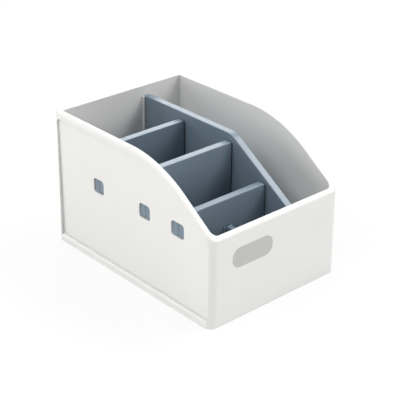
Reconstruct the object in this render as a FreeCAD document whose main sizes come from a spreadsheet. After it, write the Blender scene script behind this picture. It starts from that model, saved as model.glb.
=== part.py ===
"""Stationery tray: one moulded white shell with slot-together blue-grey dividers.

Frame: millimetres, +Z up, origin at the centre of the footprint on the desk.
The low front faces -Y, and the wall with the three plug windows faces -X.
"""
import FreeCAD
import Part
import Sketcher
import math
import os
import re

# Driving dimensions in millimetres and degrees, one row of the sheet each.
DIMENSIONS = {
    "tray_width": 122.4,
    "side_draft": 1.2,
    "tray_length": 169.6,
    "back_height": 104.7,
    "front_height": 65.8,
    "slope_angle": 35.1,
    "shoulder_radius": 96.0,
    "side_wall": 5.75,
    "front_wall": 3.8,
    "back_wall": 3.7,
    "floor_level": 3.0,
    "front_corner": 6.8,
    "back_corner": 3.2,
    "inner_front_corner": 4.0,
    "inner_back_corner": 1.2,
    "rim_outer_round": 2.4,
    "rim_inner_round": 0.8,
    "recess_depth": 2.5,
    "recess_band": 5.2,
    "recess_corner": 2.5,
    "plinth_round": 1.8,
    "plinth_height": 5.6,
    "back_strip": 3.0,
    "front_post": 3.2,
    "foot_ring": 7.0,
    "foot_height": 1.0,
    "foot_corner": 3.0,
    "window_width": 11.3,
    "front_window_width": 12.9,
    "window_height": 10.9,
    "window_corner": 2.3,
    "window_round": 0.4,
    "window_level": 60.9,
    "divider": 5.7,
    "divider_round": 0.6,
    "long_centre": 22.9,
    "long_top": 96.6,
    "long_front_top": 55.4,
    "long_kink": -15.9,
    "kink_round": 16.0,
    "back_cross": 36.2,
    "middle_cross": -14.9,
    "front_cross": -49.2,
    "cross_top": 91.2,
    "front_cross_top": 71.2,
    "cross_corner": 1.6,
    "cross_end_gap": 0.7,
    "seat_gap": 0.25,
    "plug_gap": 0.4,
    "plug_corner": 1.9,
    "plug_set_back": 0.9,
    "plug_chamfer": 0.5,
    "plug_slit": 0.3,
    "plug_slit_depth": 0.8,
    "tab_height": 7.0,
    "tab_inset": 1.0,
    "short_divider": 4.0,
    "short_centre": -16.2,
    "short_top": 51.2,
    "short_corner": 1.5,
    "rib_width": 1.3,
    "rib_depth": 1.8,
    "rib_root": 0.6,
    "rib_drop": 0.4,
    "pin_mark": 3.4,
    "pin_mark_depth": 0.3,
    "pin_mark_from_end": 11.0,
    "pin_mark_from_top": 8.0,
    "label_width": 36.6,
    "label_height": 14.8,
    "label_corner": 6.8,
    "label_depth": 0.4,
    "label_gap": 0.1,
    "label_centre": -23.2,
    "label_level": 47.0,
}

# Places on the tray that several pieces share, as expressions on the sheet.
HALF_WIDTH = "tray_width / 2"
HALF_LENGTH = "tray_length / 2"
INNER_SIDE = "(tray_width / 2 - side_wall)"
INNER_FRONT = "(front_wall - tray_length / 2)"
INNER_BACK = "(tray_length / 2 - back_wall)"
RECESS_FLOOR = "(tray_width / 2 - recess_depth)"
CROSS_LEFT_END = "(side_wall + seat_gap - tray_width / 2)"
CROSS_RIGHT_END = "(long_centre - divider / 2 - cross_end_gap)"

# Numbers that a sketch uses for its own origin, its axes and a curve's points.
ORIGIN = (-1, 1)
ACROSS_AXIS = -2
ALONG_AXIS = -1
START = 1
END = 2
CENTRE = 3
X_AXIS = FreeCAD.Vector(1, 0, 0)
Y_AXIS = FreeCAD.Vector(0, 1, 0)
Z_AXIS = FreeCAD.Vector(0, 0, 1)

# How far a point may lie from a plane, or an edge from straight, and still count.
NEAR_PLANE = 0.05
NEAR_STRAIGHT = 0.02

doc = FreeCAD.newDocument("stationery_tray")
sheet = doc.addObject("Spreadsheet::Sheet", "sheet")
for row, (alias, number) in enumerate(DIMENSIONS.items(), start=1):
    sheet.set("A%d" % row, alias)
    sheet.set("B%d" % row, str(number))
    sheet.setAlias("B%d" % row, alias)
doc.recompute()


def size(expression):
    """Return the number that an expression on the sheet gives now."""
    return float(sheet.evalExpression(expression))


def linked(expression):
    """Return an expression with each alias written as a reference to the sheet."""
    def reference(match):
        word = match.group()
        return "sheet." + word if word in DIMENSIONS else word
    return re.sub(r"[a-z_]+", reference, expression)


def new_body(label):
    """Return a new body whose label names its file."""
    body = doc.addObject("PartDesign::Body", label)
    body.Label = label
    return body


def new_sketch(body, plane, name, offset="0"):
    """Return a sketch on one of the body's own origin planes, moved along the plane's normal."""
    sketch = body.newObject("Sketcher::SketchObject", name)
    support = [item for item in body.Origin.OriginFeatures if item.Role == plane][0]
    sketch.AttachmentSupport = [(support, "")]
    sketch.MapMode = "FlatFace"
    sketch.setExpression("AttachmentOffset.Base.z", linked(offset))
    return sketch


def join(sketch, kind, first, second):
    """Join two ends of a sketch's curves, as a corner or as a smooth run."""
    sketch.addConstraint(Sketcher.Constraint(kind, *first, *second))


def drive(sketch, kind, items, name, expression):
    """Add one dimension to a sketch and bind it to the sheet."""
    value = size(expression)
    if kind == "Angle":
        value = math.radians(value)
    index = sketch.addConstraint(Sketcher.Constraint(kind, *items, value))
    sketch.renameConstraint(index, name)
    unit = " * 1 deg" if kind == "Angle" else ""
    sketch.setExpression("Constraints." + name, linked(expression) + unit)


def drive_point(sketch, item, name, across, along):
    """Dimension a point from the sketch's origin, with every distance positive."""
    places = (("DistanceX", across, "_x", ACROSS_AXIS), ("DistanceY", along, "_y", ALONG_AXIS))
    for kind, expression, ending, axis in places:
        value = size(expression)
        if value == 0:
            sketch.addConstraint(Sketcher.Constraint("PointOnObject", *item, axis))
        elif value < 0:
            drive(sketch, kind, (*item, *ORIGIN), name + ending, "-(" + expression + ")")
        else:
            drive(sketch, kind, (*ORIGIN, *item), name + ending, expression)


def add_line(sketch, start, end):
    """Draw one straight edge and return its number."""
    return sketch.addGeometry(Part.LineSegment(FreeCAD.Vector(*start), FreeCAD.Vector(*end)), False)


def add_arc(sketch, centre, radius, first, last):
    """Draw one round edge, anticlockwise between two angles in degrees, and return its number."""
    circle = Part.Circle(FreeCAD.Vector(*centre), Z_AXIS, radius)
    return sketch.addGeometry(
        Part.ArcOfCircle(circle, math.radians(first), math.radians(last)), False)


def polygon(sketch, name, corners):
    """Draw a closed outline of straight edges through corners given as expressions."""
    places = [(size(across), size(along), 0) for across, along in corners]
    edges = [add_line(sketch, places[i - 1], places[i]) for i in range(len(places))]
    for i in range(len(edges)):
        join(sketch, "Coincident", (edges[i - 1], END), (edges[i], START))
    for i, (across, along) in enumerate(corners):
        drive_point(sketch, (edges[i], END), "%s_%d" % (name, i), across, along)


def rectangle(sketch, name, low, high):
    """Draw a square-cornered rectangle between two corners given as expressions."""
    polygon(sketch, name, [low, (high[0], low[1]), high, (low[0], high[1])])


def rounded_rectangle(sketch, name, low, high, low_radius, high_radius=None):
    """Draw a rectangle with round corners, which may differ at its two ends along the second axis."""
    high_radius = high_radius or low_radius
    x0, y0 = size(low[0]), size(low[1])
    x1, y1 = size(high[0]), size(high[1])
    r0, r1 = size(low_radius), size(high_radius)
    arcs = [
        add_arc(sketch, (x0 + r0, y0 + r0, 0), r0, 180, 270),
        add_arc(sketch, (x1 - r0, y0 + r0, 0), r0, 270, 360),
        add_arc(sketch, (x1 - r1, y1 - r1, 0), r1, 0, 90),
        add_arc(sketch, (x0 + r1, y1 - r1, 0), r1, 90, 180),
    ]
    lines = [
        add_line(sketch, (x0 + r0, y0, 0), (x1 - r0, y0, 0)),
        add_line(sketch, (x1, y0 + r0, 0), (x1, y1 - r1, 0)),
        add_line(sketch, (x1 - r1, y1, 0), (x0 + r1, y1, 0)),
        add_line(sketch, (x0, y1 - r1, 0), (x0, y0 + r0, 0)),
    ]
    for i in range(4):
        join(sketch, "Tangent", (arcs[i], END), (lines[i], START))
        join(sketch, "Tangent", (lines[i - 1], END), (arcs[i], START))
    for line, direction in zip(lines, ("Horizontal", "Vertical", "Horizontal", "Vertical")):
        sketch.addConstraint(Sketcher.Constraint(direction, line))
    sketch.addConstraint(Sketcher.Constraint("Equal", arcs[0], arcs[1]))
    sketch.addConstraint(Sketcher.Constraint("Equal", arcs[2], arcs[3]))
    drive(sketch, "Radius", (arcs[0],), name + "_low_radius", low_radius)
    drive(sketch, "Radius", (arcs[2],), name + "_high_radius", high_radius)
    drive_point(sketch, (lines[3], END), name + "_low", low[0], low[1] + " + " + low_radius)
    drive_point(sketch, (lines[1], END), name + "_high", high[0], high[1] + " - " + high_radius)


def shoulder_outline(sketch, back, front, bottom, band):
    """Draw the tray's side outline, drawn in by a band from the top edge.

    The top runs level from the back, rolls over the shoulder arc and falls straight to the front.
    """
    angle = size("slope_angle")
    lean = math.radians(angle)
    inset = size(band)
    radius = size("shoulder_radius") - inset
    top = size("back_height") - inset
    corner_y = size("(back_height - front_height) / tan(slope_angle * 1 deg) - tray_length / 2")
    crest_y = corner_y + size("shoulder_radius") * math.tan(lean / 2)
    centre = (crest_y, top - radius, 0)
    roll = (crest_y - radius * math.sin(lean), top - radius + radius * math.cos(lean), 0)
    y0, y1, z0 = size(front), size(back), size(bottom)
    front_top = roll[1] - (roll[0] - y0) * math.tan(lean)
    base = add_line(sketch, (y0, z0, 0), (y1, z0, 0))
    rear = add_line(sketch, (y1, z0, 0), (y1, top, 0))
    level = add_line(sketch, (y1, top, 0), (crest_y, top, 0))
    shoulder = add_arc(sketch, centre, radius, 90, 90 + angle)
    slope = add_line(sketch, (y0, front_top, 0), roll)
    face = add_line(sketch, (y0, z0, 0), (y0, front_top, 0))
    join(sketch, "Coincident", (base, END), (rear, START))
    join(sketch, "Coincident", (rear, END), (level, START))
    join(sketch, "Tangent", (level, END), (shoulder, START))
    join(sketch, "Tangent", (shoulder, END), (slope, END))
    join(sketch, "Coincident", (slope, START), (face, END))
    join(sketch, "Coincident", (face, START), (base, START))
    for line, direction in ((base, "Horizontal"), (rear, "Vertical"),
                            (level, "Horizontal"), (face, "Vertical")):
        sketch.addConstraint(Sketcher.Constraint(direction, line))
    drive_point(sketch, (base, START), "front_foot", front, bottom)
    drive_point(sketch, (rear, END), "back_top", back, "back_height - " + band)
    drive(sketch, "Radius", (shoulder,), "shoulder", "shoulder_radius - " + band)
    drive(sketch, "Angle", (slope,), "lean", "slope_angle")
    fall = "(%s + tray_length / 2) * tan(slope_angle * 1 deg)" % front
    sunk = "%s / cos(slope_angle * 1 deg)" % band
    drive(sketch, "DistanceY", (*ORIGIN, slope, START), "front_top",
          "front_height + %s - %s" % (fall, sunk))


def pad(body, sketch, name, length, symmetric=False, reverse=False):
    """Raise a sketch into a solid."""
    feature = body.newObject("PartDesign::Pad", name)
    feature.Profile = sketch
    feature.SideType = "Symmetric" if symmetric else "One side"
    feature.Reversed = reverse
    feature.setExpression("Length", linked(length))
    doc.recompute()
    return feature


def pocket(body, sketch, name, depth, symmetric=False, reverse=False):
    """Sink a sketch into the solid, and stop if nothing is cut."""
    before = body.Shape.Volume
    feature = body.newObject("PartDesign::Pocket", name)
    feature.Profile = sketch
    feature.SideType = "Symmetric" if symmetric else "One side"
    feature.Reversed = reverse
    feature.setExpression("Length", linked(depth))
    doc.recompute()
    if body.Shape.Volume >= before:
        raise RuntimeError(name + " cuts nothing")
    return feature


def mirror(body, original, name, plane):
    """Repeat a feature on the other side of one of the body's origin planes."""
    feature = body.newObject("PartDesign::Mirrored", name)
    feature.Originals = [original]
    support = [item for item in body.Origin.OriginFeatures if item.Role == plane][0]
    feature.MirrorPlane = (support, [""])
    body.Tip = feature
    doc.recompute()


def soften(body, kind, name, amount, chosen):
    """Round or chamfer the edges of the body's last feature whose middle points pass a test."""
    base = body.Tip
    names = []
    for index, edge in enumerate(base.Shape.Edges, start=1):
        first, last = edge.ParameterRange
        if chosen(edge, edge.valueAt((first + last) / 2)):
            names.append("Edge%d" % index)
    if not names:
        raise RuntimeError(name + " finds no edge")
    feature = body.newObject("PartDesign::" + kind, name)
    feature.Base = (base, names)
    feature.setExpression("Radius" if kind == "Fillet" else "Size", linked(amount))
    doc.recompute()
    return feature


def near(value, target):
    """Tell whether a coordinate lies on a plane."""
    return abs(value - target) < NEAR_PLANE


def runs_along(edge, axis):
    """Tell whether an edge is straight and parallel to an axis, given as a vector."""
    first, last = edge.ParameterRange
    chord = edge.valueAt(last) - edge.valueAt(first)
    return abs(chord.dot(axis)) > edge.Length - NEAR_STRAIGHT


def make_outer_tray():
    """Mould the shell: sloped sides, framed side recesses, windows, guides and a foot ring."""
    body = new_body("outer_tray")
    half_length = size(HALF_LENGTH)

    sketch = new_sketch(body, "YZ_Plane", "side_outline")
    shoulder_outline(sketch, HALF_LENGTH, "-tray_length / 2", "0", "0")
    pad(body, sketch, "block", "tray_width", symmetric=True)
    sketch = new_sketch(body, "XZ_Plane", "side_draft_outline")
    polygon(sketch, "draft", [("-tray_width / 2", "0"), ("-tray_width / 2 - side_draft", "0"),
                              ("-tray_width / 2 - side_draft", "back_height"),
                              ("side_draft - tray_width / 2", "back_height")])
    draft = pocket(body, sketch, "side_draft", "2 * tray_length", symmetric=True)
    mirror(body, draft, "side_draft_right", "YZ_Plane")
    soften(body, "Fillet", "front_corners", "front_corner",
           lambda edge, middle: runs_along(edge, Z_AXIS) and near(middle.y, -half_length))
    soften(body, "Fillet", "back_corners", "back_corner",
           lambda edge, middle: runs_along(edge, Z_AXIS) and near(middle.y, half_length))

    sketch = new_sketch(body, "XY_Plane", "cavity_outline", "floor_level")
    rounded_rectangle(sketch, "cavity", ("-" + INNER_SIDE, INNER_FRONT), (INNER_SIDE, INNER_BACK),
                      "inner_front_corner", "inner_back_corner")
    pocket(body, sketch, "cavity", "back_height", reverse=True)

    round_rim(body)
    sink_side_panels(body)
    cut_windows(body)

    sketch = new_sketch(body, "XY_Plane", "foot_outline")
    rounded_rectangle(sketch, "foot", ("foot_ring - tray_width / 2", "foot_ring - tray_length / 2"),
                      ("tray_width / 2 - foot_ring", "tray_length / 2 - foot_ring"), "foot_corner")
    pocket(body, sketch, "foot_hollow", "foot_height", reverse=True)

    add_guides(body, "back_guides", "long_centre", "divider", INNER_BACK + " - rib_depth",
               INNER_BACK + " + rib_root", "long_top - rib_drop - floor_level")
    add_guides(body, "front_guides", "long_centre", "divider", INNER_FRONT + " - rib_root",
               INNER_FRONT + " + rib_depth", "long_front_top - rib_drop - floor_level")
    add_guides(body, "short_guides", "short_centre", "short_divider", INNER_FRONT + " - rib_root",
               INNER_FRONT + " + rib_depth", "short_top - rib_drop - floor_level")

    sketch = new_sketch(body, "XZ_Plane", "label_seat_outline", HALF_LENGTH)
    label_outline(sketch, "label_gap")
    pocket(body, sketch, "label_seat", "label_depth")
    return body


def sink_side_panels(body):
    """Sink a panel in each long side, framed by the rim, the corner posts and a rounded plinth."""
    sketch = new_sketch(body, "YZ_Plane", "recess_outline", "-tray_width / 2")
    shoulder_outline(sketch, "(tray_length / 2 - back_strip)", "(front_post - tray_length / 2)",
                     "plinth_height", "recess_band")
    recess = pocket(body, sketch, "recess", "recess_depth", reverse=True)
    mirror(body, recess, "recess_right", "YZ_Plane")
    sketch = new_sketch(body, "XZ_Plane", "plinth_edge_outline", "back_strip - tray_length / 2")
    plinth_edge(sketch)
    plinth = pocket(body, sketch, "plinth_edge", "tray_length - back_strip - front_post", reverse=True)
    mirror(body, plinth, "plinth_edge_right", "YZ_Plane")
    panel = size(RECESS_FLOOR)
    ledge = size("plinth_height")

    def at_top_corner(edge, middle):
        in_recess = runs_along(edge, X_AXIS) and panel < abs(middle.x) and middle.z > ledge + NEAR_PLANE
        at_end = (near(middle.y, size("tray_length / 2 - back_strip"))
                  or near(middle.y, size("front_post - tray_length / 2")))
        return in_recess and at_end

    soften(body, "Fillet", "recess_corners", "recess_corner", at_top_corner)


def plinth_edge(sketch):
    """Draw what is cut off the plinth's upper edge to round it, with a margin outside the solid."""
    outside = "-tray_width / 2 - plinth_round"
    inside = "plinth_round - tray_width / 2"
    above = "plinth_height + plinth_round"
    below = "plinth_height - plinth_round"
    x0, x1 = size(outside), size(inside)
    z0, z1 = size(below), size(above)
    radius = size("plinth_round")
    face = size(HALF_WIDTH)
    arc = add_arc(sketch, (x1, z0, 0), radius, 90, 180)
    lower = add_line(sketch, (-face, z0, 0), (x0, z0, 0))
    outer = add_line(sketch, (x0, z0, 0), (x0, z1, 0))
    upper = add_line(sketch, (x0, z1, 0), (x1, z1, 0))
    inner = add_line(sketch, (x1, z1, 0), (x1, z0 + radius, 0))
    loop = (lower, outer, upper, inner)
    for first, second in zip(loop, loop[1:]):
        join(sketch, "Coincident", (first, END), (second, START))
    join(sketch, "Coincident", (arc, END), (lower, START))
    join(sketch, "Coincident", (inner, END), (arc, START))
    for line, direction in zip(loop, ("Horizontal", "Vertical", "Horizontal", "Vertical")):
        sketch.addConstraint(Sketcher.Constraint(direction, line))
    drive(sketch, "Radius", (arc,), "edge", "plinth_round")
    drive_point(sketch, (arc, CENTRE), "edge_centre", inside, below)
    drive_point(sketch, (outer, END), "edge_margin", outside, above)
    join(sketch, "Vertical", (arc, CENTRE), (arc, START))
    join(sketch, "Horizontal", (arc, CENTRE), (arc, END))


def cut_windows(body):
    """Cut the three plug windows through the left panel and round their outer edges."""
    windows = (("back", "back_cross", "window_width"),
               ("middle", "middle_cross", "window_width"),
               ("front", "front_cross", "front_window_width"))
    sketch = new_sketch(body, "YZ_Plane", "window_outlines", "-tray_width / 2")
    for name, centre, width in windows:
        rounded_rectangle(
            sketch, name,
            ("%s - %s / 2" % (centre, width), "window_level - window_height / 2"),
            ("%s + %s / 2" % (centre, width), "window_level + window_height / 2"),
            "window_corner")
    pocket(body, sketch, "windows", "side_wall + rib_root", reverse=True)
    panel = size(RECESS_FLOOR)
    reach = size("window_height / 2") + NEAR_PLANE

    def on_window(edge, middle):
        level = abs(middle.z - size("window_level")) < reach
        beside = any(abs(middle.y - size(centre)) < size(width) / 2 + NEAR_PLANE
                     for name, centre, width in windows)
        return near(middle.x, -panel) and level and beside

    soften(body, "Fillet", "window_edges", "window_round", on_window)


def rim_level(y):
    """Return the height of the tray's top edge at a distance along its length."""
    lean = math.radians(size("slope_angle"))
    radius = size("shoulder_radius")
    crest = size("(back_height - front_height) / tan(slope_angle * 1 deg) - tray_length / 2")
    crest += radius * math.tan(lean / 2)
    if y >= crest:
        return size("back_height")
    if y >= crest - radius * math.sin(lean):
        return size("back_height") - radius + math.sqrt(radius ** 2 - (crest - y) ** 2)
    return size("front_height") + (y + size(HALF_LENGTH)) * math.tan(lean)


def round_rim(body):
    """Roll the top edge over to both faces of the walls, along the level, shoulder and slope."""
    def on_rim(edge, middle):
        seam = runs_along(edge, X_AXIS) and edge.Length < 2 * size("side_wall")
        return near(middle.z, rim_level(middle.y)) and not seam

    def outside(middle):
        return (abs(middle.x) > size("tray_width / 2 - side_wall / 2")
                or middle.y > size("tray_length / 2 - back_wall / 2")
                or middle.y < size("front_wall / 2 - tray_length / 2"))

    soften(body, "Fillet", "rim_outer", "rim_outer_round",
           lambda edge, middle: on_rim(edge, middle) and outside(middle))
    soften(body, "Fillet", "rim_inner", "rim_inner_round",
           lambda edge, middle: on_rim(edge, middle) and not outside(middle))


def rib_faces(centre, thickness):
    """Return the near and far faces of the two ribs that hold a divider's end, left rib first."""
    gap = "(%s / 2 + seat_gap)" % thickness
    reach = "(%s / 2 + seat_gap + rib_width)" % thickness
    return (("left", centre + " - " + reach, centre + " - " + gap),
            ("right", centre + " + " + gap, centre + " + " + reach))


def add_guides(body, name, centre, thickness, low, high, height):
    """Raise a pair of ribs from the floor on both sides of a divider's end."""
    sketch = new_sketch(body, "XY_Plane", name + "_outline", "floor_level")
    for side, first, last in rib_faces(centre, thickness):
        rectangle(sketch, side, (first, low), (last, high))
    pad(body, sketch, name, height)


def label_outline(sketch, margin):
    """Draw the label's outline on the front face, with a margin around it."""
    rounded_rectangle(
        sketch, "label",
        ("label_centre - label_width / 2 - %s" % margin, "label_level - label_height / 2 - %s" % margin),
        ("label_centre + label_width / 2 + %s" % margin, "label_level + label_height / 2 + %s" % margin),
        "(label_corner + %s)" % margin)


def make_long_divider():
    """Cut the lengthwise divider: level, then falling to the front, with a slot for each tab."""
    body = new_body("long_divider")
    body.setExpression("Placement.Base.x", linked("long_centre"))
    front_end = INNER_FRONT + " + seat_gap"
    back_end = INNER_BACK + " - seat_gap"
    sketch = new_sketch(body, "YZ_Plane", "long_outline")
    polygon(sketch, "long", [(front_end, "floor_level"), (back_end, "floor_level"),
                             (back_end, "long_top"), ("long_kink", "long_top"),
                             (front_end, "long_front_top")])
    pad(body, sketch, "plate", "divider", symmetric=True)
    soften(body, "Fillet", "kink", "kink_round",
           lambda edge, middle: runs_along(edge, X_AXIS) and near(middle.y, size("long_kink")))
    half = size("divider / 2")
    lowest_top = size("long_front_top")
    soften(body, "Fillet", "top_edges", "divider_round",
           lambda edge, middle: near(abs(middle.x), half) and middle.z > lowest_top
           and not runs_along(edge, Z_AXIS))
    sketch = new_sketch(body, "YZ_Plane", "tab_slots_outline")
    for name, centre in (("back", "back_cross"), ("middle", "middle_cross"), ("front", "front_cross")):
        half_slot = "(divider / 2 - tab_inset + seat_gap)"
        half_tall = "(tab_height / 2 + seat_gap)"
        rectangle(sketch, name, (centre + " - " + half_slot, "window_level - " + half_tall),
                  (centre + " + " + half_slot, "window_level + " + half_tall))
    pocket(body, sketch, "tab_slots", "2 * divider", symmetric=True)
    return body


def make_cross_divider(label, centre, top, window_width):
    """Cut one crosswise divider with its split window plug and its tab for the long divider."""
    body = new_body(label)
    body.setExpression("Placement.Base.y", linked(centre))
    sketch = new_sketch(body, "XZ_Plane", label + "_outline")
    rectangle(sketch, "plate", (CROSS_LEFT_END, "floor_level"), (CROSS_RIGHT_END, top))
    pad(body, sketch, label + "_plate", "divider", symmetric=True)
    top_level = size(top)
    right_end = size(CROSS_RIGHT_END)
    soften(body, "Fillet", label + "_corner", "cross_corner",
           lambda edge, middle: runs_along(edge, Y_AXIS) and near(middle.z, top_level)
           and near(middle.x, right_end))
    half = size("divider / 2")
    soften(body, "Fillet", label + "_top_edges", "divider_round",
           lambda edge, middle: near(abs(middle.y), half) and middle.z > top_level - size("cross_corner")
           and not runs_along(edge, Z_AXIS))

    sketch = new_sketch(body, "YZ_Plane", label + "_plug_outline", CROSS_LEFT_END)
    half_plug = "(%s / 2 - plug_gap)" % window_width
    half_tall = "(window_height / 2 - plug_gap)"
    rounded_rectangle(sketch, "plug", ("-" + half_plug, "window_level - " + half_tall),
                      (half_plug, "window_level + " + half_tall), "plug_corner")
    plug_length = "(%s + %s - plug_set_back)" % (CROSS_LEFT_END, RECESS_FLOOR)
    pad(body, sketch, label + "_plug", plug_length, reverse=True)
    plug_face = size(CROSS_LEFT_END + " - " + plug_length)
    soften(body, "Chamfer", label + "_plug_lead", "plug_chamfer",
           lambda edge, middle: near(middle.x, plug_face))
    sketch = new_sketch(body, "YZ_Plane", label + "_slit_outline", CROSS_LEFT_END + " - " + plug_length)
    rectangle(sketch, "slit", ("-plug_slit / 2", "window_level - window_height / 2"),
              ("plug_slit / 2", "window_level + window_height / 2"))
    pocket(body, sketch, label + "_slit", "plug_slit_depth", reverse=True)

    sketch = new_sketch(body, "YZ_Plane", label + "_tab_outline", CROSS_RIGHT_END)
    rectangle(sketch, "tab", ("tab_inset - divider / 2", "window_level - tab_height / 2"),
              ("divider / 2 - tab_inset", "window_level + tab_height / 2"))
    pad(body, sketch, label + "_tab", "cross_end_gap + divider - plug_set_back")
    return body


def finish_front_cross(body):
    """Add the short divider's guide ribs and the moulding's pin mark to the front face."""
    front_face = "divider / 2"
    sketch = new_sketch(body, "XZ_Plane", "short_seat_outline", front_face + " - rib_root")
    for side, first, last in rib_faces("short_centre", "short_divider"):
        rectangle(sketch, side, (first, "floor_level"), (last, "short_top - rib_drop"))
    pad(body, sketch, "short_seat", "rib_depth + rib_root")
    sketch = new_sketch(body, "XZ_Plane", "pin_mark_outline", front_face)
    centre = (size(CROSS_RIGHT_END + " - pin_mark_from_end"), size("front_cross_top - pin_mark_from_top"), 0)
    circle = sketch.addGeometry(Part.Circle(FreeCAD.Vector(*centre), Z_AXIS, size("pin_mark")), False)
    drive(sketch, "Radius", (circle,), "mark", "pin_mark")
    drive_point(sketch, (circle, CENTRE), "mark_centre", CROSS_RIGHT_END + " - pin_mark_from_end",
                "front_cross_top - pin_mark_from_top")
    pocket(body, sketch, "pin_mark", "pin_mark_depth")


def make_short_divider():
    """Cut the low divider that splits the front compartment."""
    body = new_body("short_front_divider")
    body.setExpression("Placement.Base.x", linked("short_centre"))
    sketch = new_sketch(body, "YZ_Plane", "short_outline")
    rectangle(sketch, "short", (INNER_FRONT + " + seat_gap", "floor_level"),
              ("front_cross - divider / 2 - seat_gap", "short_top"))
    pad(body, sketch, "short_plate", "short_divider", symmetric=True)
    top_level = size("short_top")
    soften(body, "Fillet", "short_corners", "short_corner",
           lambda edge, middle: runs_along(edge, X_AXIS) and near(middle.z, top_level))
    half = size("short_divider / 2")
    soften(body, "Fillet", "short_top_edges", "divider_round",
           lambda edge, middle: near(abs(middle.x), half) and middle.z > top_level - size("short_corner")
           and not runs_along(edge, Z_AXIS))
    return body


def make_front_label():
    """Cut the blank label that lies flush in its seat on the front wall."""
    body = new_body("front_label")
    sketch = new_sketch(body, "XZ_Plane", "label_plate_outline", HALF_LENGTH)
    label_outline(sketch, "0")
    pad(body, sketch, "label_plate", "label_depth", reverse=True)
    return body


front_cross = make_cross_divider("front_cross_divider", "front_cross", "front_cross_top",
                                 "front_window_width")
finish_front_cross(front_cross)
pieces = [
    make_outer_tray(),
    make_long_divider(),
    make_cross_divider("back_cross_divider", "back_cross", "cross_top", "window_width"),
    make_cross_divider("middle_cross_divider", "middle_cross", "cross_top", "window_width"),
    front_cross,
    make_short_divider(),
    make_front_label(),
]
doc.recompute()

for item in doc.Objects:
    if "Invalid" in item.State or "Error" in item.State:
        raise RuntimeError("%s did not build" % item.Label)
for piece in pieces:
    if piece.Shape.isNull() or not piece.Shape.isValid() or len(piece.Shape.Solids) != 1:
        raise RuntimeError("%s is not one valid solid" % piece.Label)

os.makedirs("parts", exist_ok=True)
for piece in pieces:
    piece.Shape.exportStep("parts/%s.step" % piece.Label)
    print(piece.Label, "%.1f cubic mm" % piece.Shape.Volume, piece.Shape.BoundBox)
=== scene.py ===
"""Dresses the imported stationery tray: moulded shell, slot-together dividers, blank label and stage.

Every length is in metres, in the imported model's own frame: +Z up, the low front faces -Y.
"""
import math

import bmesh
import bpy
from bpy.props import FloatProperty, FloatVectorProperty, PointerProperty
from mathutils import Matrix, Vector


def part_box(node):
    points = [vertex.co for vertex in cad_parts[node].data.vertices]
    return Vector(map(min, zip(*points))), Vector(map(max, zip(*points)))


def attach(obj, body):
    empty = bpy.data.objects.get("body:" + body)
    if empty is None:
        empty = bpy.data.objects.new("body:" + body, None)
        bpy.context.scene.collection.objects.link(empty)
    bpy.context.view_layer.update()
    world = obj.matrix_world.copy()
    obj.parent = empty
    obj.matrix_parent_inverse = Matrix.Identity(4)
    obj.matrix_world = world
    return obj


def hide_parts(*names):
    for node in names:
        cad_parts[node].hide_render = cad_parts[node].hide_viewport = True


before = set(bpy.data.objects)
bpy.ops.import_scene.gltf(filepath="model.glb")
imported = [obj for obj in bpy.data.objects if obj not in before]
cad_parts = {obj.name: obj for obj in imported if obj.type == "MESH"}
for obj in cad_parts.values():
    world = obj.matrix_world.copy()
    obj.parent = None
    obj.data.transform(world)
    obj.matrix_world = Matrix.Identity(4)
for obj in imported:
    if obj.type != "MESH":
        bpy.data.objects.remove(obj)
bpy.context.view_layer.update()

bl_info = {
    "name": "Stationery tray",
    "version": (1, 0, 0),
    "blender": (4, 5, 0),
    "location": "3D View > Sidebar > Tray",
    "description": "Moulded shell, slot-together dividers, blank label and studio stage",
    "category": "Object",
}

SHELL_LOW, SHELL_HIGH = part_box("outer_tray")
CROSS_NODES = ("back_cross_divider", "middle_cross_divider", "front_cross_divider")
TRAY_BODY = "tray"
LIFTING_BODY = "front_divider"

MILLIMETRE = 0.001
MERGE_DISTANCE = 0.002 * MILLIMETRE
FLAT_ANGLE = math.radians(0.4)
SHARP_ANGLE = math.radians(32)
NEAR = 0.06 * MILLIMETRE
FRAME_SEGMENTS = 3
LABEL_SEGMENTS = 2
GRAIN_DEPTH = 0.03 * MILLIMETRE
PRINT_DEPTH = 0.02 * MILLIMETRE
SENSOR_WIDTH = 36.0
FLOOR_SIZE = 12.0
FLOOR_COLOUR = (0.80, 0.80, 0.80, 1)
FLOOR_ROUGHNESS = 0.9
WHITE = (1, 1, 1, 1)

# Painted shade in creases and contacts: how far the occlusion test reaches, then the open shares at
# which the painted shade is darkest and at which it ends.
SHELL_PAINTED_SHADE = (2.16 * MILLIMETRE, 0.75, 0.98)
DIVIDER_PAINTED_SHADE = (1.2 * MILLIMETRE, 0.45, 0.75)
CREASE_SAMPLES = 12

# Sockets of a Mix node for colours. They are numbered, because its other kinds share their names.
MIX_FACTOR, MIX_FIRST, MIX_SECOND = 0, 6, 7
MIX_RESULT = 2

# Soft studio lamps: azimuth from +X towards +Y, elevation and spread in degrees, then strength.
LAMPS = {
    "back_lamp": (48, 34, 34, 1.0),
    "slope_lamp": (346, 52, 18, 1.0),
    "top_lamp": (80, 78, 34, 0.5),
    "back_left_lamp": (135, 14, 40, 1.12),
    "left_lamp": (178, 52, 38, 1.53),
    "front_lamp": (270, 12, 40, 0.6),
    "right_lamp": (315, 38, 40, 1.15),
}


class TrayEdges(bpy.types.PropertyGroup):
    """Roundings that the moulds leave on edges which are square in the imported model."""

    frame_round: FloatProperty(
        name="Panel frame", description="Rounding of the frame around each sunk side panel",
        default=0.7 * MILLIMETRE, unit="LENGTH", precision=5)
    side_draft: FloatProperty(
        name="Side draft", description="How far each long side leans in from its foot to its rim",
        default=1.2 * MILLIMETRE, unit="LENGTH", precision=5)
    label_round: FloatProperty(
        name="Label edge", description="Rounding of the label's outer edge",
        default=0.12 * MILLIMETRE, unit="LENGTH", precision=5)


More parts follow.
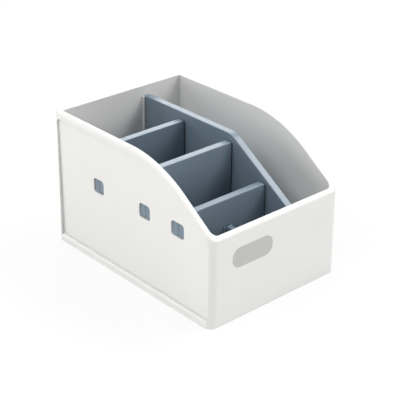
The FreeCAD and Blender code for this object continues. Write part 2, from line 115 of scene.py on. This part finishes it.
class TrayFinish(bpy.types.PropertyGroup):
    """Colours of the three plastics."""

    shell_colour: FloatVectorProperty(
        name="Shell", description="Warm white of the moulded shell", subtype="COLOR",
        default=(0.80, 0.795, 0.775))
    divider_colour: FloatVectorProperty(
        name="Dividers", description="Blue grey of the dividers", subtype="COLOR",
        default=(0.17, 0.225, 0.28))
    label_colour: FloatVectorProperty(
        name="Label", description="Light grey of the blank label", subtype="COLOR",
        default=(0.515, 0.52, 0.495))


class TrayStage(bpy.types.PropertyGroup):
    """Camera and light of the studio."""

    camera_azimuth: FloatProperty(
        name="Azimuth", description="Turn of the camera around the tray",
        default=math.radians(-41.89), subtype="ANGLE")
    camera_elevation: FloatProperty(
        name="Elevation", description="Height of the camera above the horizon",
        default=math.radians(26.93), subtype="ANGLE")
    camera_roll: FloatProperty(
        name="Roll", description="Tilt of the picture", default=math.radians(0.41), subtype="ANGLE")
    camera_distance: FloatProperty(
        name="Distance", description="Distance from the camera to its target",
        default=0.880, unit="LENGTH")
    camera_target: FloatVectorProperty(
        name="Target", description="Point at the picture's centre", subtype="XYZ",
        default=(0.03119, 0.02875, 0.02342))
    camera_lens: FloatProperty(
        name="Lens", description="Focal length in millimetres", default=103.48)
    lamp_level: FloatProperty(
        name="Lamp level", description="Factor on the strength of all soft lamps", default=1.0)
    floor_share: FloatProperty(
        name="Floor share", description="Share of its own light and shadow that the floor shows",
        default=0.14)


class Signal:
    """A shader socket that takes part in sums: each operator adds its Math node."""

    def __init__(self, bench, socket):
        self.bench = bench
        self.socket = socket

    def math(self, operation, first, second):
        """Return the result of one Math node on two values."""
        return self.bench.node("ShaderNodeMath", {"operation": operation}, {0: first, 1: second})

    def __add__(self, other):
        return self.math("ADD", self, other)

    def __radd__(self, other):
        return self.math("ADD", other, self)

    def __mul__(self, other):
        return self.math("MULTIPLY", self, other)

    def __rmul__(self, other):
        return self.math("MULTIPLY", other, self)


class FinishBench:
    """One material or world and the nodes that are laid out for it."""

    def __init__(self, owner, shader="Principled BSDF"):
        self.owner = owner
        owner.use_nodes = True
        self.tree = owner.node_tree
        self.shader = self.tree.nodes[shader]

    @classmethod
    def material(cls, name):
        """Return the bench of a new material."""
        return cls(bpy.data.materials.new(name))

    def node(self, kind, settings, sockets, output=0):
        """Add a node, set it up, fill or link its sockets and return one of its outputs."""
        made = self.tree.nodes.new(kind)
        for key, value in settings.items():
            if key == "stops":
                self.set_stops(made.color_ramp, value)
            else:
                setattr(made, key, value)
        for key, value in sockets.items():
            self.fill(made.inputs[key], value)
        return Signal(self, made.outputs[output])

    def set_stops(self, ramp, stops):
        """Give a colour ramp its stops, each a place and a grey level."""
        while len(ramp.elements) < len(stops):
            ramp.elements.new(0.5)
        for element, (place, level) in zip(ramp.elements, stops):
            element.position = place
            element.color = (level, level, level, 1)

    def fill(self, socket, value):
        """Link a socket to a signal, or set its own value."""
        if isinstance(value, Signal):
            self.tree.links.new(value.socket, socket)
        else:
            socket.default_value = value

    def place(self, stretch=(1, 1, 1)):
        """Return the point on the piece, stretched along its axes."""
        coordinate = self.node("ShaderNodeTexCoord", {}, {}, "Object")
        return self.node("ShaderNodeMapping", {}, {"Vector": coordinate, "Scale": stretch})

    def noise(self, place, scale, detail=2.0, roughness=0.5):
        """Return soft random values about a half, with a feature every 1/scale metres."""
        return self.node("ShaderNodeTexNoise", {"noise_dimensions": "3D"}, {
            "Vector": place, "Scale": scale, "Detail": detail, "Roughness": roughness})

    def ramp(self, value, stops):
        """Return a value sent through a grey ramp."""
        return self.node("ShaderNodeValToRGB", {"stops": stops}, {"Fac": value})

    def openness(self, reach, deep, clear, alone=True):
        """Return the share that paints shade: 0 in creases, of the piece alone or with others, and 1
        where it lies clear.
        """
        seen = self.node("ShaderNodeAmbientOcclusion",
                         {"samples": CREASE_SAMPLES, "only_local": alone}, {"Distance": reach}, "AO")
        return self.ramp(seen, [(deep, 0), (clear, 1)])

    def blend(self, factor, first, second):
        """Return a mix of two colours."""
        return self.node("ShaderNodeMix", {"data_type": "RGBA"}, {
            MIX_FACTOR: factor, MIX_FIRST: first, MIX_SECOND: second}, MIX_RESULT)

    def bump(self, height, strength, distance):
        """Feed a height to the shader's normal."""
        normal = self.node("ShaderNodeBump", {},
                           {"Height": height, "Strength": strength, "Distance": distance})
        self.fill(self.shader.inputs["Normal"], normal)

    def finish(self, **sockets):
        """Fill the shader's sockets, spaces in their names written as underscores."""
        for name, value in sockets.items():
            self.fill(self.shader.inputs[name.replace("_", " ")], value)
        return self.owner

    def looked_at(self):
        """Return 1 for rays that look straight here, or by way of a gloss or through glass."""
        camera, gloss, glass = (
            self.node("ShaderNodeLightPath", {}, {}, "Is %s Ray" % kind)
            for kind in ("Camera", "Glossy", "Transmission"))
        return camera.math("MAXIMUM", camera, gloss.math("MAXIMUM", gloss, glass))


def tinted(colour, share):
    """Return a colour with all its parts scaled, as the four numbers of a colour socket."""
    return tuple(part * share for part in colour) + (1,)


def shell_plastic(colour):
    """Satin white plastic: faint clouding, fine grain, soft rub marks, and painted shade that greys
    its creases.
    """
    bench = FinishBench.material("shell_plastic_satin")
    place = bench.place()
    cloud = bench.noise(place, 28, 3.0)
    grain = bench.noise(place, 3200, 2.0, 0.6)
    streak = bench.noise(bench.place((35, 260, 420)), 1, 4.0, 0.65)
    rub = bench.ramp(streak, [(0.56, 0), (0.74, 1)])
    clean = bench.blend(cloud, tinted(colour, 0.985), tinted(colour, 1.015))
    # Painted shade: the shell's colour is darkened to 88 % in creases, at the panel steps and under
    # the rim's overhang, where shade falls.
    base = bench.blend(bench.openness(*SHELL_PAINTED_SHADE), tinted(colour, 0.88), clean)
    bench.bump(grain + rub * 0.3, 0.12, GRAIN_DEPTH)
    return bench.finish(Base_Color=base, Roughness=0.36 + 0.10 * cloud + 0.05 * rub, IOR=1.49)


def divider_plastic(colour):
    """Blue-grey plastic: faint flow streaks from the mould, fine grain, and painted shade that
    darkens creases and the gaps where it meets other pieces.
    """
    bench = FinishBench.material("divider_plastic_satin")
    place = bench.place()
    flow = bench.noise(bench.place((14, 14, 70)), 1, 4.0, 0.6)
    grain = bench.noise(place, 2600, 2.0, 0.6)
    patch = bench.noise(place, 60, 3.0)
    clean = bench.blend(flow, tinted(colour, 0.93), tinted(colour, 1.06))
    # Painted shade: the dividers' colour is darkened to 35 % in creases and where they meet the shell
    # or each other, such as the gaps round the plugs in the side windows.
    painted_contact_shade = bench.openness(*DIVIDER_PAINTED_SHADE, alone=False)
    base = bench.blend(painted_contact_shade, tinted(colour, 0.35), clean)
    bench.bump(grain, 0.16, GRAIN_DEPTH)
    return bench.finish(Base_Color=base, Roughness=0.29 + 0.10 * patch, IOR=1.5)


def label_film(colour):
    """Plain light grey film with a fine print grain."""
    bench = FinishBench.material("label_film_grey")
    place = bench.place()
    fibre = bench.noise(bench.place((900, 900, 4200)), 1, 3.0)
    cloud = bench.noise(place, 90, 2.0)
    base = bench.blend(fibre, tinted(colour, 0.97), tinted(colour, 1.03))
    bench.bump(fibre, 0.08, PRINT_DEPTH)
    return bench.finish(Base_Color=base, Roughness=0.42 + 0.10 * cloud, IOR=1.5)


def merged_copy(node, name):
    """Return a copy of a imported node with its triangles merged, active and selected alone."""
    bpy.ops.object.select_all(action="DESELECT")
    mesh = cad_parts[node].data.copy()
    mesh.name = name
    mesh.materials.clear()
    piece = bpy.data.objects.new(name, mesh)
    bpy.context.scene.collection.objects.link(piece)
    piece.select_set(True)
    bpy.context.view_layer.objects.active = piece
    bpy.ops.mesh.customdata_custom_splitnormals_clear()
    bpy.ops.object.mode_set(mode="EDIT")
    bpy.ops.mesh.select_all(action="SELECT")
    bpy.ops.mesh.remove_doubles(threshold=MERGE_DISTANCE)
    bpy.ops.mesh.dissolve_limited(angle_limit=FLAT_ANGLE)
    bpy.ops.object.mode_set(mode="OBJECT")
    return piece


def round_edges(piece, chosen, width, segments):
    """Bevel the sharp edges of a piece whose two ends and turn pass a test."""
    bpy.ops.object.mode_set(mode="EDIT")
    bpy.ops.mesh.select_mode(type="EDGE")
    bpy.ops.mesh.select_all(action="DESELECT")
    cage = bmesh.from_edit_mesh(piece.data)
    count = 0
    for edge in cage.edges:
        if not edge.is_manifold or edge.calc_face_angle() < SHARP_ANGLE:
            continue
        if chosen(edge.verts[0].co, edge.verts[1].co, edge.is_convex):
            edge.select_set(True)
            count += 1
    if not count:
        raise RuntimeError("no edge of %s passes the test" % piece.name)
    bmesh.update_edit_mesh(piece.data)
    bpy.ops.mesh.bevel(offset_type="OFFSET", offset=width, segments=segments, profile=0.5,
                       affect="EDGES", clamp_overlap=True)
    bpy.ops.object.mode_set(mode="OBJECT")


def settle(piece, material, body, node):
    """Smooth a piece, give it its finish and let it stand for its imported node."""
    bpy.ops.object.shade_smooth_by_angle(angle=SHARP_ANGLE)
    bpy.ops.object.modifier_add(type="WEIGHTED_NORMAL")
    piece.modifiers[-1].keep_sharp = True
    bpy.ops.object.modifier_apply(modifier=piece.modifiers[-1].name)
    piece.data.materials.append(material)
    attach(piece, body)
    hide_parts(node)


class TRAY_OT_shell(bpy.types.Operator):
    """Round the square edges of the moulded shell and give it its satin white"""

    bl_idname = "tray.shell"
    bl_label = "Moulded shell"

    def execute(self, context):
        edges = context.scene.tray_edges
        piece = merged_copy("outer_tray", "moulded_shell")
        slant = edges.side_draft / SHELL_HIGH.z

        def on_side(end):
            return abs(abs(end.x) + slant * end.z - SHELL_HIGH.x) < NEAR

        def on_frame(first, last, convex):
            above_foot = min(first.z, last.z) > MILLIMETRE
            return convex and above_foot and on_side(first) and on_side(last)

        round_edges(piece, on_frame, edges.frame_round, FRAME_SEGMENTS)
        finish = shell_plastic(context.scene.tray_finish.shell_colour)
        settle(piece, finish, TRAY_BODY, "outer_tray")
        return {"FINISHED"}


class TRAY_OT_dividers(bpy.types.Operator):
    """Smooth the long, crosswise and short dividers and give them their blue grey"""

    bl_idname = "tray.dividers"
    bl_label = "Dividers"

    def execute(self, context):
        finish = divider_plastic(context.scene.tray_finish.divider_colour)
        piece = merged_copy("long_divider", "long_divider_plate")
        settle(piece, finish, TRAY_BODY, "long_divider")
        for node in CROSS_NODES:
            piece = merged_copy(node, node + "_plate")
            settle(piece, finish, TRAY_BODY, node)
        piece = merged_copy("short_front_divider", "short_front_divider_plate")
        settle(piece, finish, LIFTING_BODY, "short_front_divider")
        return {"FINISHED"}


class TRAY_OT_label(bpy.types.Operator):
    """Round the edge of the blank label and give it its grey film"""

    bl_idname = "tray.label"
    bl_label = "Blank label"

    def execute(self, context):
        edges = context.scene.tray_edges
        piece = merged_copy("front_label", "blank_label")
        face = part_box("front_label")[0].y

        def on_face(first, last, convex):
            return convex and all(abs(end.y - face) < NEAR for end in (first, last))

        round_edges(piece, on_face, edges.label_round, LABEL_SEGMENTS)
        finish = label_film(context.scene.tray_finish.label_colour)
        settle(piece, finish, TRAY_BODY, "front_label")
        return {"FINISHED"}


class TRAY_OT_stage(bpy.types.Operator):
    """Set up the camera, the floor and the soft studio light"""

    bl_idname = "tray.stage"
    bl_label = "Studio stage"

    def execute(self, context):
        stage = context.scene.tray_stage
        self.place_camera(context.scene, stage)
        self.lay_floor(stage)
        self.light(context.scene, stage)
        context.scene.view_settings.view_transform = "Standard"
        return {"FINISHED"}

    def place_camera(self, scene, stage):
        """Point the camera at its target from the photograph's angle."""
        turn = (Matrix.Rotation(stage.camera_azimuth, 3, "Z")
                @ Matrix.Rotation(math.pi / 2 - stage.camera_elevation, 3, "X")
                @ Matrix.Rotation(stage.camera_roll, 3, "Z"))
        lens = bpy.data.cameras.new("photo_camera")
        lens.sensor_width = SENSOR_WIDTH
        lens.lens = stage.camera_lens
        camera = bpy.data.objects.new("photo_camera", lens)
        place = Vector(stage.camera_target) + turn @ Vector((0, 0, stage.camera_distance))
        camera.matrix_world = Matrix.Translation(place) @ turn.to_4x4()
        scene.collection.objects.link(camera)
        scene.camera = camera

    def lay_floor(self, stage):
        """Lay a pale floor that shows white to the camera and keeps the tray's soft shadow."""
        bpy.ops.object.select_all(action="DESELECT")
        bpy.ops.mesh.primitive_plane_add(size=FLOOR_SIZE)
        floor = bpy.context.active_object
        floor.name = "studio_floor"
        bench = FinishBench.material("studio_floor_white")
        bench.finish(Base_Color=FLOOR_COLOUR, Roughness=FLOOR_ROUGHNESS)
        glow = bench.node("ShaderNodeEmission", {}, {"Color": WHITE, "Strength": 1.0})
        shown = bench.node("ShaderNodeMixShader", {}, {
            0: bench.looked_at() * (1 - stage.floor_share),
            1: Signal(bench, bench.shader.outputs[0]), 2: glow})
        bench.fill(bench.tree.nodes["Material Output"].inputs["Surface"], shown)
        floor.data.materials.append(bench.owner)

    def light(self, scene, stage):
        """Light the tray with soft lamps all round, before a white backdrop that only shows."""
        backdrop = FinishBench(bpy.data.worlds.new("studio_backdrop"), "Background")
        scene.world = backdrop.finish(Color=WHITE, Strength=backdrop.looked_at())
        for name, (azimuth, elevation, spread, strength) in LAMPS.items():
            lamp = bpy.data.lights.new(name, "SUN")
            lamp.angle = math.radians(spread)
            lamp.energy = strength * stage.lamp_level
            holder = bpy.data.objects.new(name, lamp)
            holder.rotation_euler = (math.radians(90 - elevation), 0, math.radians(azimuth + 90))
            scene.collection.objects.link(holder)


class TRAY_PT_sidebar(bpy.types.Panel):
    """List the tray's sizes, colours and building steps"""

    bl_idname = "TRAY_PT_sidebar"
    bl_label = "Stationery tray"
    bl_space_type = "VIEW_3D"
    bl_region_type = "UI"
    bl_category = "Tray"

    def draw(self, context):
        scene = context.scene
        for group in (scene.tray_edges, scene.tray_finish, scene.tray_stage):
            box = self.layout.box()
            for name in group.bl_rna.properties.keys():
                if name not in ("rna_type", "name"):
                    box.prop(group, name)
        for operator in OPERATORS:
            self.layout.operator(operator.bl_idname)


OPERATORS = (TRAY_OT_shell, TRAY_OT_dividers, TRAY_OT_label, TRAY_OT_stage)
GROUPS = (("tray_edges", TrayEdges), ("tray_finish", TrayFinish), ("tray_stage", TrayStage))


def register():
    """Register the classes and hang the property groups on the scene."""
    for name, group in GROUPS:
        bpy.utils.register_class(group)
        setattr(bpy.types.Scene, name, PointerProperty(type=group))
    for item in (*OPERATORS, TRAY_PT_sidebar):
        bpy.utils.register_class(item)


def unregister():
    """Take the classes and the property groups away again."""
    for item in (TRAY_PT_sidebar, *reversed(OPERATORS)):
        bpy.utils.unregister_class(item)
    for name, group in reversed(GROUPS):
        delattr(bpy.types.Scene, name)
        bpy.utils.unregister_class(group)


def main():
    """Build the dressed tray."""
    register()
    bpy.ops.tray.shell()
    bpy.ops.tray.dividers()
    bpy.ops.tray.label()
    bpy.ops.tray.stage()


if __name__ == "__main__":
    main()
